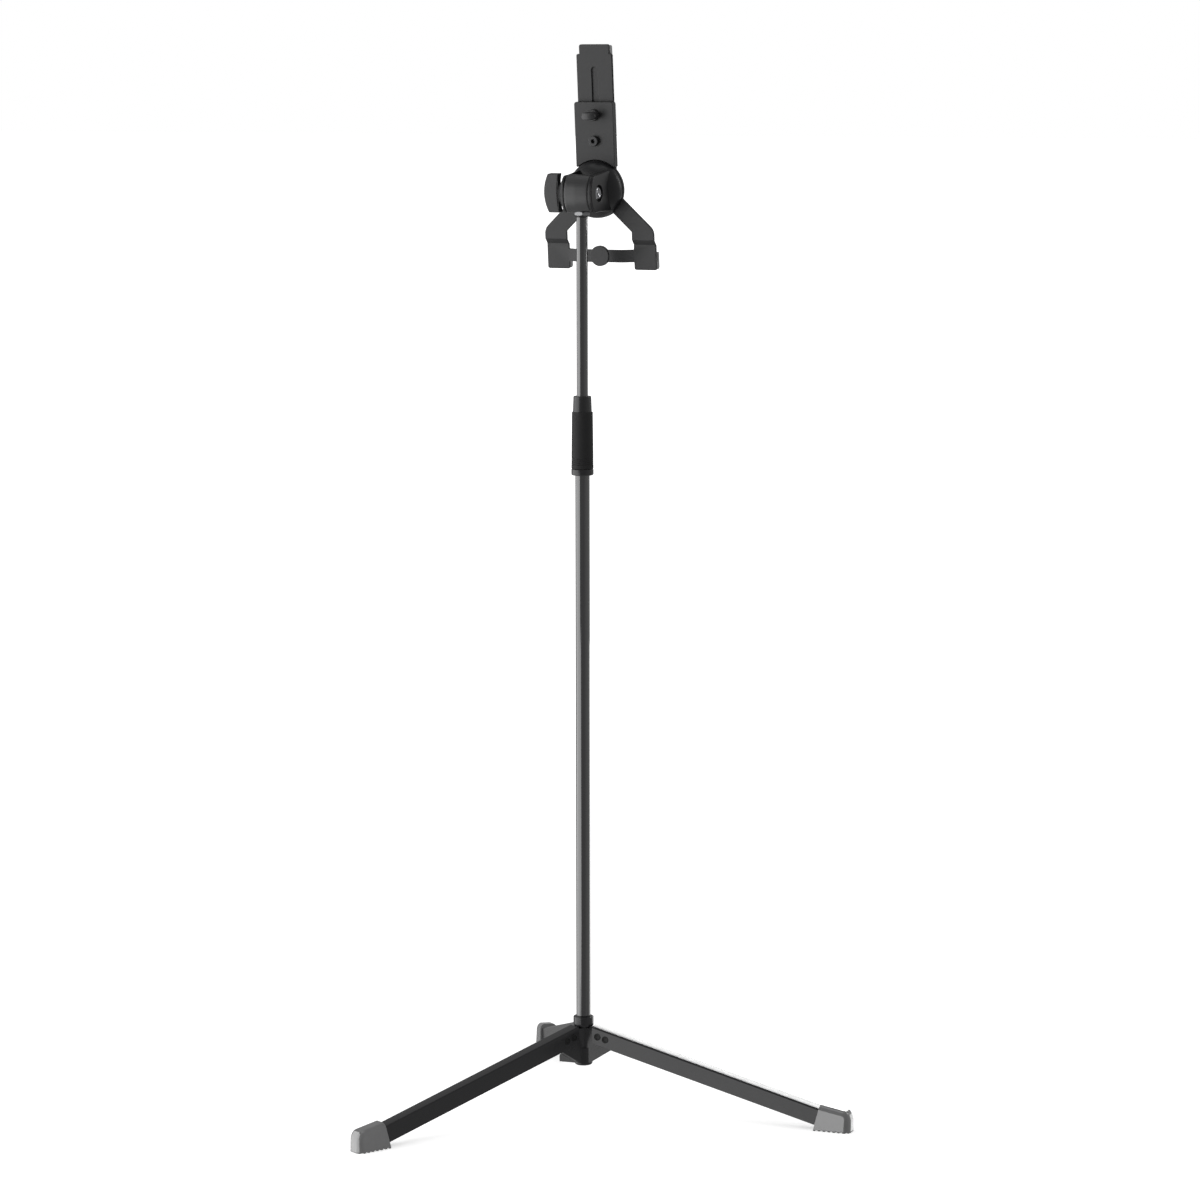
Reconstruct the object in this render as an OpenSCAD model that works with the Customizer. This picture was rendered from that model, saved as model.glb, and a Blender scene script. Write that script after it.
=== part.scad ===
// Adjustable tablet floor stand: a folding tripod, a telescopic pole with a twist clutch,
// a tilting head and a turning holder whose top hook slides.
// Origin on the pole's axis at floor level, +Z up; the screen looks towards -Y.

/* [Legs] */
// Width of a leg channel
leg_w = 17.5; // [15:0.1:22]
// Height of a leg channel, square to its length
leg_h = 20.7; // [19:0.1:26]
// Wall of a leg channel
leg_wall = 1.75; // [1.2:0.05:2.2]
// Radius of a leg channel's upper edges
leg_round = 2; // [0.5:0.1:3]
// Slope of a spread leg below horizontal, degrees
leg_slope = 14.7; // [11:0.1:20]
// Length of a leg from its pivot to its outer end
leg_len = 292.5; // [220:0.5:420]
// Distance from the pole's axis to a leg's pivot
pivot_r = 31.4; // [29:0.1:36]
// Distance from the pivot to the stop pin
stop_d = 10.5; // [10:0.1:12]
// Diameter of the pivot and stop pins
pin_d = 8; // [6:0.1:8.5]
// Bore of the tubular pins
pin_bore = 5; // [3:0.1:5.4]
// Distance from the pole's axis to the legs' inner ends
leg_end_r = 14; // [13.5:0.1:15]
// Radius of the lower corner at a leg's inner end
heel_r = 4.5; // [2:0.1:6]
// Direction of the first leg, degrees from +X
leg_turn = 63.9; // [0:0.1:120]

/* [Feet] */
// Length of a foot's sole
foot_len = 44.5; // [36:0.1:60]
// Width of a foot at the floor
foot_w = 24; // [22.5:0.1:32]
// Width of a foot at its top
foot_top_w = 20.6; // [20:0.1:26]
// Length of the leg that the foot's socket takes
foot_grip = 14.1; // [10:0.1:15]
// Rubber over the top of the leg
foot_roof = 2.9; // [2:0.1:5]
// Rubber under the leg's lower corner
foot_sole = 2.7; // [2:0.1:5]
// Radius of a foot's nose
nose_r = 9; // [5:0.1:11]
// Radius of a foot's upper edges and outer corners
foot_round = 3.2; // [1:0.1:4]
// Pitch of the grooves across the sole
groove_pitch = 6.1; // [4:0.1:9]
// Width of a sole groove
groove_w = 2.8; // [1.5:0.1:3.5]
// Depth of a sole groove
groove_depth = 1.3; // [0.6:0.1:1.8]

/* [Hub] */
// Diameter of the hub's lower body
hub_d = 22; // [20:0.1:26]
// Depth of the hub below the leg pivots
hub_drop = 34.4; // [30:0.1:42]
// Height of the hub's lower body
hub_h = 22; // [16:0.1:24]
// Diameter of the hub's core between the legs
core_d = 16; // [15.6:0.1:18]
// Height of the collar's foot above the leg pivots
core_rise = 13.8; // [13:0.1:18]
// Height of the collar
collar_h = 11.8; // [9:0.1:16]
// Thickness of the collar's floor
collar_floor = 3; // [2:0.1:4]
// Wall of the collar around the tube
collar_wall = 3.6; // [2:0.1:4]
// Reach of a lug past the leg pivot
lug_reach = 7; // [6:0.1:8]
// Slope of the lugs' lower edges, degrees
lug_slope = 33; // [28:0.5:40]
// Reach of the flat tab at the hub's foot
tab_reach = 30.5; // [20:0.1:34]
// Height of the flat tab
tab_h = 8.5; // [5:0.1:12]
// Diameter of the centre bolt
tie_d = 8; // [6:0.1:8]
// Diameter of the centre bolt's head
tie_head_d = 13; // [11:0.1:14]
// Height of the centre bolt's head
tie_head_h = 8; // [6:0.1:9]
// Length of the threaded plug in the tube
plug_len = 22; // [16:0.1:40]

/* [Pole] */
// Outer diameter of the lower tube
tube_d = 17.2; // [16:0.1:20]
// Wall of the lower tube
tube_wall = 1.2; // [0.9:0.05:1.5]
// Length of the lower tube
tube_len = 742; // [600:1:1000]
// Radial play between the rod and the lower tube
rod_play = 0.65; // [0.3:0.05:1]
// Wall of the rod
rod_wall = 1.2; // [0.9:0.05:1.6]
// Length of the rod
rod_len = 640; // [520:1:700]
// Length of rod that shows above the clutch
rod_out = 211.5; // [60:0.1:300]
// Length of the glide bush inside the rod
bush_len = 16; // [10:0.1:30]

/* [Clutch] */
// Length of the rubber grip
grip_len = 68; // [50:0.1:90]
// Diameter of the grip at its top
grip_top_d = 24.9; // [24:0.1:30]
// Diameter of the grip at its foot
grip_foot_d = 26.3; // [25:0.1:32]
// Height of the fixed ring under the grip
ring_h = 7.4; // [5:0.1:12]
// Diameter of the fixed ring
ring_d = 26.5; // [25:0.1:32]
// Height of the tapered cap
cap_h = 18.7; // [12:0.1:24]
// Diameter of the cap at its foot
cap_foot_d = 22.6; // [20.9:0.1:23]
// Diameter of the cap at its top
cap_top_d = 21.2; // [19.6:0.1:22]
// Number of fine grooves round the foot of the grip
grip_grooves = 4; // [2:1:8]
// Number of slits in the collet
collet_slits = 4; // [3:1:6]

/* [Head] */
// Width across the flats of the lock nut
nut_af = 18; // [15:0.1:20]
// Thickness of the lock nut
nut_h = 4.4; // [4:0.1:9]
// Height of the black cap on the rod's end, under the lock nut
rod_cap_h = 2.1; // [1.6:0.1:4]
// Diameter of the threaded stud
stud_d = 10; // [8:0.1:10]
// Half height of the barrel and of the fork's cheeks
barrel_r = 22; // [20:0.1:24]
// Length of the barrel along the tilt axis
barrel_l = 31.2; // [26:0.1:40]
// Offset of the barrel's middle from the pole's axis
barrel_off = -1.6; // [-3:0.1:3]
// Depth of the flat under the barrel below the tilt axis
barrel_drop = 21.7; // [20:0.1:21.8]
// Radius of the bulged rear of barrel and cheeks
bulge_r = 31; // [26:0.1:40]
// Thickness of the cheek on the bolt's side
bolt_cheek = 5; // [4.6:0.1:7]
// Thickness of the cheek on the knob's side
knob_cheek = 3.4; // [2.5:0.1:5]
// Thickness of a friction disc
disc_t = 0.4; // [0.3:0.1:1]
// Radius of the dome's rim
dome_r = 34; // [32:0.1:38]
// Depth of the dome along the holder's axis
dome_h = 19.2; // [16:0.1:21]
// Distance from the tilt axis to the dome's rim
dome_w = 41.2; // [40:0.1:46]
// Lean of the holder at rest, degrees
head_tilt = 4.7; // [0:0.1:10]
// Diameter of the tilt bolt
bolt_d = 6; // [5:0.1:6.4]
// Diameter of the tilt bolt's round head
bolt_head_d = 17; // [14:0.1:18]
// Depth of the recess round the bolt's head
bolt_recess = 3; // [2:0.1:4]
// Length of the conical boss under the knob
boss_len = 7.6; // [5:0.1:10]
// Radius of the conical boss at its foot
boss_r = 21; // [17:0.1:21.4]
// Radius of the boss at its tip
boss_tip_r = 13; // [9:0.1:16]
// Height of the paddle knob
knob_h = 46; // [36:0.1:56]
// Reach of the paddle knob along the tilt axis
knob_len = 21; // [16:0.1:28]
// Thickness of the knob's paddle
knob_t = 10; // [9.8:0.1:14]

/* [Holder] */
// Thickness of the holder plate at its hub
plate_t = 4.2; // [3.6:0.1:4.4]
// Thickness of the arms and of the cross bar
arm_t = 3.6; // [3:0.1:4]
// Half width to the outer edge of the feet
arm_out = 71.4; // [66:0.1:80]
// Half width to the inner edge of the feet
arm_in = 42.8; // [38:0.1:46]
// Height of the outer knee below the axle
knee_out = 48; // [46:0.1:52]
// Height of the inner knee below the axle
knee_in = 50.5; // [49:0.1:54]
// Depth from the axle to the lower edge of the tablet
tablet_drop = 87.7; // [86:0.1:110]
// Distance from the tilt axis to the back of the tablet
tablet_w = 52.4; // [52:0.1:56]
// Length of the tablet that is held
tablet_len = 247.6; // [215:0.1:275]
// Depth of the hooks' mouths
mouth = 8.5; // [7:0.1:12]
// Overlap of the hooks over the tablet's edge
hook_lap = 11.5; // [6:0.1:16]
// Thickness of the hooks' lips
lip_t = 2.8; // [2.2:0.1:5]
// Inset of a claw from the sides of its hook
claw_inset = 3.4; // [2:0.1:6]
// Thickness of the hooks' floors
hook_floor = 6.8; // [4:0.1:8]
// Thickness of the soft liners at the back and the lip
liner_t = 1.2; // [0.8:0.1:2]
// Thickness of the soft liners under the tablet's edge
liner_floor = 2; // [1:0.1:3]
// Height of the cross bar
bar_h = 15; // [10:0.1:18]
// Height of the cross bar's middle below the axle
bar_drop = 79.8; // [78:0.1:82]
// Radius of the round boss on the cross bar
boss_disc_r = 12.2; // [9:0.1:14]

/* [Slide] */
// Width of the guide sleeve
sleeve_w = 50.5; // [46:0.1:56]
// Height of the guide sleeve's lower edge above the axle
sleeve_foot = 26.5; // [18:0.1:30]
// Height of the guide sleeve's top above the axle
sleeve_top = 103.5; // [98:0.1:112]
// Distance from the tilt axis to the sleeve's rear face
sleeve_back = 40; // [38.6:0.1:40.4]
// Wall at the sleeve's sides
sleeve_wall = 1.9; // [1.4:0.1:2.5]
// Thickness of the slide
slide_t = 4.2; // [4:0.1:4.4]
// Height of the slide's lower end above the axle
slide_foot = 4; // [0:0.1:20]
// Width of the top hook
top_hook_w = 38.5; // [30:0.1:42]
// Width of the groove along the slide
slot_w = 8; // [7.2:0.1:12]
// Depth of the groove along the slide
slot_depth = 2; // [1.2:0.1:2.4]
// Height of the groove's upper end above the axle
slot_top = 144.5; // [130:0.1:150]
// Height of the clamp screw above the axle
wing_v = 88; // [80:0.1:92]
// Width of the clamp screw's oval head
wing_w = 18; // [14:0.1:24]
// Thickness of the clamp screw's oval head
wing_t = 8.7; // [6:0.1:11]
// Length of the clamp screw's head behind the sleeve
wing_len = 18; // [14:0.1:19]
// Height of the cap screw above the axle
cap_v = 57.5; // [54:0.1:62]
// Diameter of the cap screw's head
cap_d = 10; // [8:0.1:12]

/* [Hidden] */
$fn = 96;

// Gap between faces that slide past each other
play = 0.3;
// Radial clearance of a running fit
run = 0.05;
// Overshoot of a cutting tool
over = 1;

left = leg_turn;
right = leg_turn + 120;
rear = leg_turn + 240;

// Heights along the pole
pivot_z = leg_len * sin(leg_slope) + (leg_h / 2 + foot_sole) * cos(leg_slope);
hub_z = pivot_z - hub_drop;
collar_z = pivot_z + core_rise;
seat_z = collar_z + collar_floor;
tube_top = seat_z + tube_len;
clutch_top = tube_top + cap_h;
grip_z = tube_top - grip_len;
ring_z = grip_z - play - ring_h;
rod_top = clutch_top + rod_out;
nut_z = rod_top + rod_cap_h;
tilt_z = nut_z + nut_h + run + barrel_drop;

// Radii of the pole
tube_r = tube_d / 2;
tube_in = tube_r - tube_wall;
rod_r = tube_in - rod_play;
rod_in = rod_r - rod_wall;
core_out = tube_r + 0.9;
collar_r = tube_r + collar_wall;
thread_r = tie_d / 2;
stud_r = stud_d / 2;
bolt_r = bolt_d / 2;

// Leg channel, measured from its pivot along its length
lug_t = leg_w - 2 * leg_wall - 2 * play;
lug_roof = leg_h / 2 - leg_wall - play;
lug_r = min(stop_d - pin_d / 2 - play, lug_roof - 0.5);
pin_play = 0.15;
pin_recess = 0.4;
crown_gap = 1.6;
hub_round = 3;
lug_lift = 3.8;
tab_t = 6;
tab_rise = 1.2;
socket_gap = 0.05;

// Stations along the tilt axis, knob side positive
barrel_knob = barrel_off + barrel_l / 2;
barrel_bolt = barrel_off - barrel_l / 2;
cheek_knob = barrel_knob + run + disc_t;
cheek_bolt = barrel_bolt - run - disc_t;
face_knob = cheek_knob + knob_cheek;
face_bolt = cheek_bolt - bolt_cheek;
boss_x = face_knob + boss_len;
washer_t = 1.2;
knob_x = boss_x + washer_t + run;
knob_end = knob_x + knob_len;
knob_neck_r = knob_t / 2 - 0.2;
insert_len = 0.7 * knob_len;
insert_r = bolt_r + 1;
cheek_flare = 2.2;
bulge_limit = 1.14 * barrel_r;

// Layers of the holder, measured forwards from the tilt axis
swivel_t = 0.75;
plate_w = dome_w + swivel_t + run;
plate_front = plate_w + plate_t;
arm_w = plate_front - arm_t;
arm_front = tablet_w - liner_t;
slide_w = plate_front + play;
slide_front = slide_w + slide_t;
lip_w = tablet_w + mouth + liner_t;
lip_front = lip_w + lip_t;
boot_t = 1.2;
claw_edge = 1;
foot_claw = arm_out - arm_in - 2 * (claw_inset + boot_t);
top_claw = top_hook_w - 2 * (claw_inset + boot_t);
hook_round = 2.4;
axle_r = 8;
axle_head_r = 11;
axle_head_t = 2.3;

// Heights in the holder, measured up from the axle
foot_v = -tablet_drop - liner_floor - hook_floor;
joggle_v = -(knee_out + 12);
joggle_h = 6;
tablet_top = tablet_len - tablet_drop;
hook_v = tablet_top + liner_floor;
hook_top = hook_v + hook_floor + 2;
shoulder_v = tablet_top - 0.4;
tongue_w = sleeve_w - 10;
tongue_top = cap_v + 16;
slide_half = sleeve_w / 2 - sleeve_wall - play;
rail = 1.3;
rail_flange = 1.1;
rail_t = slide_t - 2.5;
wing_r = 2.5;
wing_collar_r = 7;
wing_collar_t = 4;
cap_shank_r = 3;
cap_head_h = 6;

black = [0.11, 0.11, 0.12];
gloss = [0.07, 0.07, 0.075];
soft_black = [0.2, 0.2, 0.21];
grey_rubber = [0.48, 0.48, 0.49];
pale_rubber = [0.7, 0.7, 0.71];
zinc = [0.78, 0.79, 0.8];
brass = [0.78, 0.62, 0.3];
nylon = [0.86, 0.86, 0.83];

// Points of an arc about [x, y] from angle a0 to a1
function arc(x, y, r, a0, a1, steps = 12) =
    [for (i = [0:steps]) [x + r * cos(a0 + (a1 - a0) * i / steps),
                          y + r * sin(a0 + (a1 - a0) * i / steps)]];

// Height of the floor in a leg's own frame, at distance x from the pivot
function floor_at(x) = -(leg_h / 2 + foot_sole) + (x - leg_len) * tan(leg_slope);

// Distance from the pole's axis of a floor point at distance x along the leg
function floor_r(x) = pivot_r + x * cos(leg_slope) + floor_at(x) * sin(leg_slope);

// Ring with its foot at z
module ring(z, h, outer, inner) {
    translate([0, 0, z]) difference() {
        cylinder(h = h, r = outer);
        translate([0, 0, -over]) cylinder(h = h + 2 * over, r = inner);
    }
}

// Frame of a leg: x outwards along the leg, z square to it, origin at the pivot
module on_leg(turn) {
    rotate([0, 0, turn]) translate([pivot_r, 0, pivot_z]) rotate([0, leg_slope, 0]) children();
}

// Extrudes an outline drawn in y and z along x
module along_x(x, len) {
    translate([x, 0, 0]) rotate([90, 0, 90]) linear_extrude(len) children();
}

// Extrudes an outline drawn in x and z to both sides of y = 0
module across(width) {
    translate([0, width / 2, 0]) rotate([90, 0, 0]) linear_extrude(width) children();
}

// Rod along x from x to x + len
module x_rod(x, len, r) {
    translate([x, 0, 0]) rotate([0, 90, 0]) cylinder(h = len, r = r);
}

// Frame of the head: origin on the tilt axis, y to the rear, z up along the holder
module on_head() {
    translate([0, 0, tilt_z]) rotate([-head_tilt, 0, 0]) children();
}

// Extrudes an outline drawn in x and z forwards, from w to w + len
module forwards(w, len) {
    translate([0, -w, 0]) rotate([90, 0, 0]) linear_extrude(len) children();
}

// Rod that points forwards from w to w + len at height v
module w_rod(w, len, r, v = 0) {
    translate([0, -w, v]) rotate([90, 0, 0]) cylinder(h = len, r = r);
}

// Rectangle on [x0, x1] and [y0, y1] with rounded corners
module rounded(x0, y0, x1, y1, r) {
    for (x = [x0 + r, x1 - r], y = [y0 + r, y1 - r]) translate([x, y]) circle(r = r);
    translate([x0 + r, y0]) square([x1 - x0 - 2 * r, y1 - y0]);
    translate([x0, y0 + r]) square([x1 - x0, y1 - y0 - 2 * r]);
}

// Outline of a lug: gusset from the hub's foot up into the leg, seen in radius and height
module lug_outline() {
    end = pivot_r + lug_reach;
    under = pivot_z - lug_reach * tan(leg_slope) - leg_h / 2 / cos(leg_slope);
    roof = pivot_z + lug_roof / cos(leg_slope);
    intersection() {
        polygon([[0, under - end * tan(lug_slope)], [end, under],
                 [end, roof - lug_reach * tan(leg_slope)], [0, roof + pivot_r * tan(leg_slope)]]);
        translate([0, hub_z + lug_lift]) square([end, collar_z - crown_gap - hub_z - lug_lift]);
    }
}

// Path that the stop pin sweeps as the leg folds down
module stop_path() {
    reach = stop_d + pin_d / 2 + play;
    rest = 180 - leg_slope;
    translate([pivot_r, pivot_z]) {
        intersection() {
            difference() {
                circle(r = reach);
                circle(r = lug_r);
            }
            polygon(concat([[0, 0]], arc(0, 0, 2 * reach, rest, -5, 8)));
        }
        rotate(rest) translate([stop_d, 0]) circle(r = pin_d / 2 + pin_play);
    }
}

module hub() {
    waist = hub_z + hub_h;
    color(gloss) difference() {
        union() {
            rotate_extrude() polygon(concat(
                [[0, hub_z]],
                arc(hub_d / 2 - hub_round, hub_z + hub_round, hub_round, -90, 0, 6),
                [[hub_d / 2, waist], [core_d / 2, waist], [core_d / 2, collar_z], [0, collar_z]]));
            for (turn = [left, right, rear]) rotate([0, 0, turn]) across(lug_t) difference() {
                lug_outline();
                stop_path();
            }
            rotate([0, 0, right + 180]) across(tab_t)
                translate([0, hub_z + tab_rise]) square([tab_reach, tab_h]);
        }
        for (turn = [left, right, rear])
            rotate([0, 0, turn]) translate([pivot_r, lug_t, pivot_z]) rotate([90, 0, 0])
                cylinder(h = 2 * lug_t, r = pin_d / 2 + run);
        translate([0, 0, hub_z - over]) cylinder(h = collar_z - hub_z + 2 * over, r = thread_r);
        translate([0, 0, hub_z - over]) cylinder(h = tie_head_h + over, r = tie_head_d / 2 + play);
    }
}

module hub_collar() {
    edge = 0.8;
    color(gloss) translate([0, 0, collar_z]) rotate_extrude() polygon([
        [thread_r, 0], [collar_r - edge, 0], [collar_r, edge], [collar_r, collar_h - edge],
        [collar_r - edge, collar_h], [tube_r, collar_h], [tube_r, collar_floor],
        [thread_r, collar_floor]]);
}

module centre_bolt() {
    socket_af = 6;
    color(zinc) difference() {
        union() {
            translate([0, 0, hub_z]) cylinder(h = tie_head_h, r = tie_head_d / 2);
            translate([0, 0, hub_z]) cylinder(h = seat_z - hub_z + plug_len - 2, r = thread_r);
        }
        translate([0, 0, hub_z - over])
            cylinder(h = tie_head_h / 2 + over, r = socket_af / sqrt(3), $fn = 6);
    }
}

module tube_plug() {
    color(zinc) ring(seat_z, plug_len, tube_in, thread_r);
}

module lower_tube() {
    color(black) ring(seat_z, tube_len, tube_r, tube_in);
}

// Side of a leg: upright inner end with a rounded lower corner, drawn in x and z
module leg_side() {
    top = leg_h / 2;
    inset = pivot_r - leg_end_r;
    heel_z = heel_r - top;
    heel_x = (heel_r - inset - heel_z * sin(leg_slope)) / cos(leg_slope);
    polygon(concat(
        [[-(inset + top * sin(leg_slope)) / cos(leg_slope), top]],
        arc(heel_x, heel_z, heel_r, 180 + leg_slope, 270, 6),
        [[leg_len, -top], [leg_len, top]]));
}

// Leg channel: a sheet folded to an inverted U, cut upright at its inner end
module leg_channel(turn) {
    half = leg_w / 2;
    top = leg_h / 2;
    color(black) on_leg(turn) difference() {
        intersection() {
            across(2 * leg_w) leg_side();
            along_x(-leg_len, 2 * leg_len + over) union() {
                rounded(-half, -top, half, top, leg_round);
                translate([-half, -top]) square([leg_w, top]);
            }
        }
        along_x(-leg_len, 2 * leg_len + over) translate([-half + leg_wall, -top - over])
            square([leg_w - 2 * leg_wall, leg_h - leg_wall + over]);
        for (x = [0, -stop_d]) translate([x, leg_w, 0]) rotate([90, 0, 0])
            cylinder(h = 2 * leg_w, r = pin_d / 2);
    }
}

// Tubular pivot rivet and stop rivet of one leg
module leg_pins(turn) {
    color(zinc) on_leg(turn) for (x = [0, -stop_d]) translate([x, leg_w / 2, 0]) rotate([90, 0, 0])
        ring(pin_recess, leg_w - 2 * pin_recess, pin_d / 2, pin_bore / 2);
}

// Rubber end cap: side, front and plan outlines crossed, with a socket and a grooved sole
module foot_cap(turn) {
    x0 = leg_len - foot_grip;
    x1 = x0 + foot_len * cos(leg_slope);
    roof = leg_h / 2 + foot_roof;
    low = floor_at(x0);
    grooves = floor(foot_len / groove_pitch);
    color(grey_rubber) difference() {
        on_leg(turn) difference() {
            intersection() {
                across(2 * foot_w) polygon(concat(
                    [[x0, low], [x1, floor_at(x1)]],
                    arc(x1 - nose_r - 1.5, roof - nose_r, nose_r, 0, 90),
                    [[x0, roof]]));
                along_x(x0 - over, foot_len + 2 * over) polygon(concat(
                    [[-foot_w / 2, low - over], [foot_w / 2, low - over]],
                    arc(foot_top_w / 2 - foot_round, roof - foot_round, foot_round, 0, 90, 6),
                    arc(-foot_top_w / 2 + foot_round, roof - foot_round, foot_round, 90, 180, 6)));
                translate([0, 0, low - over]) linear_extrude(roof - low + 2 * over)
                    rounded(x0 - 2 * foot_round, -foot_w / 2, x1, foot_w / 2, 1.6 * foot_round);
            }
            along_x(x0 - over, foot_grip + over)
                translate([-leg_w / 2 - socket_gap, -leg_h / 2 - socket_gap])
                square([leg_w + 2 * socket_gap, leg_h + 2 * socket_gap]);
        }
        rotate([0, 0, turn]) for (i = [0:grooves - 1])
            translate([floor_r(x0) + (i + 0.75) * groove_pitch, 0, 0]) across(2 * foot_w)
                polygon([[-groove_w / 2, -over], [-groove_w / 2, 0], [0, groove_depth],
                         [groove_w / 2, 0], [groove_w / 2, -over]]);
    }
}

module leg_left() { leg_channel(left); }
module leg_right() { leg_channel(right); }
module leg_rear() { leg_channel(rear); }
module pins_left() { leg_pins(left); }
module pins_right() { leg_pins(right); }
module pins_rear() { leg_pins(rear); }
module foot_left() { foot_cap(left); }
module foot_right() { foot_cap(right); }
module foot_rear() { foot_cap(rear); }

module clutch_ring() {
    r = ring_d / 2;
    edge = 1.2;
    color(black) translate([0, 0, ring_z]) rotate_extrude() polygon([
        [tube_r, 0], [r - edge, 0], [r, edge], [r, ring_h - edge / 2], [r - edge / 2, ring_h],
        [tube_r, ring_h]]);
}

module clutch_core() {
    color(nylon) ring(ring_z + ring_h, tube_top - ring_z - ring_h, core_out, tube_r);
}

module clutch_collet() {
    h = cap_h - 2.5;
    foot = core_out - 0.6;
    slit_w = 1.2;
    inner = rod_r + run;
    color(nylon) difference() {
        translate([0, 0, tube_top]) rotate_extrude() polygon([
            [inner, 0], [foot, 0], [foot, 2], [rod_r + 1.1, h], [inner, h]]);
        for (i = [0:collet_slits - 1]) rotate([0, 0, 360 * i / collet_slits])
            translate([0, -slit_w / 2, tube_top + 3]) cube([2 * foot, slit_w, h]);
    }
}

module clutch_nut() {
    bore = core_out + run;
    mouth_r = rod_r + play;
    lid = 1.8;
    edge = 0.8;
    color(black) rotate_extrude() polygon([
        [bore, grip_z], [cap_foot_d / 2, grip_z], [cap_foot_d / 2, tube_top],
        [cap_top_d / 2, clutch_top - edge], [cap_top_d / 2 - edge, clutch_top],
        [mouth_r, clutch_top], [mouth_r, clutch_top - lid], [rod_r + 1.7, clutch_top - lid],
        [bore, tube_top + 1]]);
}

module clutch_grip() {
    pitch = 2.4;
    depth = 0.4;
    r0 = grip_foot_d / 2;
    r1 = grip_top_d / 2;
    inner = cap_foot_d / 2;
    edge = 0.8;
    color(soft_black) rotate_extrude() difference() {
        polygon([[inner, grip_z], [r0 - edge, grip_z], [r0, grip_z + edge],
                 [r1, tube_top - edge], [r1 - edge, tube_top], [inner, tube_top]]);
        for (i = [1:grip_grooves]) translate([r0, grip_z + 3 + i * pitch])
            square([2 * depth, pitch / 3], center = true);
    }
}

module rod() {
    color(black) ring(rod_top - rod_len, rod_len, rod_r, rod_in);
}

module rod_bush() {
    flange = 10;
    foot = rod_top - rod_len;
    color(nylon) {
        translate([0, 0, foot - flange]) cylinder(h = flange, r = tube_in - run);
        translate([0, 0, foot]) cylinder(h = bush_len, r = rod_in);
    }
}

module rod_stud() {
    plug = 24;
    color(zinc) {
        translate([0, 0, rod_top - plug]) cylinder(h = plug, r = rod_in);
        translate([0, 0, rod_top]) cylinder(h = tilt_z - rod_top - bolt_r - 3, r = stud_r);
    }
}

// Moulded cap that closes the rod's end and carries the nut
module rod_cap() {
    flange_r = rod_r + 2.2;
    lip = 0.6;
    color(soft_black) translate([0, 0, rod_top]) rotate_extrude() polygon([
        [stud_r, 0], [rod_r, 0], [flange_r, rod_cap_h - lip], [flange_r, rod_cap_h], [stud_r, rod_cap_h]]);
}

module lock_nut() {
    color(zinc) translate([0, 0, nut_z]) difference() {
        intersection() {
            cylinder(h = nut_h, r = nut_af / sqrt(3), $fn = 6);
            rotate_extrude() polygon([[0, 0], [nut_af / 2, 0], [nut_af / sqrt(3), 1],
                                      [nut_af / sqrt(3), nut_h - 1], [nut_af / 2, nut_h], [0, nut_h]]);
        }
        translate([0, 0, -over]) cylinder(h = nut_h + 2 * over, r = stud_r);
    }
}

// Bulged rear half of the barrel and of the cheeks, drawn in y and z
module bulge(inset = 0) {
    intersection() {
        translate([barrel_r - bulge_r, 0]) circle(r = bulge_r - inset);
        circle(r = bulge_limit - inset);
        translate([0, -barrel_r + inset]) square([2 * barrel_r, 2 * (barrel_r - inset)]);
    }
}

module pivot_barrel() {
    groove = 0.8;
    color(black) translate([0, 0, tilt_z]) difference() {
        union() {
            along_x(barrel_bolt, groove) barrel_outline(groove);
            along_x(barrel_bolt + groove, barrel_l - 2 * groove) barrel_outline(0);
            along_x(barrel_knob - groove, groove) barrel_outline(groove);
        }
        x_rod(barrel_bolt - over, barrel_l + 2 * over, bolt_r + run);
        translate([0, 0, -barrel_r - over])
            cylinder(h = barrel_r + over - bolt_r - 2.5, r = stud_r + run);
    }
}

// Section of the barrel: round towards the dome, bulged to the rear, flat on the nut
module barrel_outline(inset) {
    intersection() {
        union() {
            circle(r = barrel_r - inset);
            bulge(inset);
        }
        translate([-2 * barrel_r, -barrel_drop]) square([4 * barrel_r, 4 * barrel_r]);
    }
}

// Section of a cheek: the bulge carried forwards into the dome with a slight flare
module cheek_outline(inset = 0) {
    reach = dome_w - 7;
    half = barrel_r - inset;
    bulge(inset);
    polygon([[over, -half], [over, half], [-reach, half + cheek_flare], [-reach, -half - cheek_flare]]);
}

module fork() {
    groove = 0.9;
    outer = 1.4;
    rim = 2.5;
    steps = 14;
    color(gloss) on_head() difference() {
        union() {
            rotate([-90, 0, 0]) rotate_extrude() polygon(concat(
                [[0, -dome_w], [dome_r, -dome_w]],
                [for (i = [0:steps]) [dome_r * cos(90 * i / steps),
                                      dome_h * sin(90 * i / steps) + rim - dome_w]]));
            along_x(face_bolt, outer) cheek_outline();
            along_x(face_bolt + outer, groove) cheek_outline(groove);
            along_x(face_bolt + outer + groove, bolt_cheek - outer - groove) cheek_outline();
            along_x(cheek_knob, knob_cheek) cheek_outline();
            translate([face_knob, 0, 0]) rotate([0, 90, 0])
                cylinder(h = boss_len, r1 = boss_r, r2 = boss_tip_r);
        }
        x_rod(cheek_bolt, cheek_knob - cheek_bolt, bulge_limit + play);
        x_rod(face_bolt - over, boss_x - face_bolt + 2 * over, bolt_r);
        x_rod(face_bolt - over, bolt_recess + over, bolt_head_d / 2 + 1.5);
        w_rod(barrel_r - over, dome_w - barrel_r + 2 * over, thread_r);
    }
}

module tilt_discs() {
    r = barrel_r - 3;
    color(nylon) on_head() for (x = [cheek_bolt, cheek_knob - disc_t]) difference() {
        x_rod(x, disc_t, r);
        x_rod(x - over, disc_t + 2 * over, bolt_r);
    }
}

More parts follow.
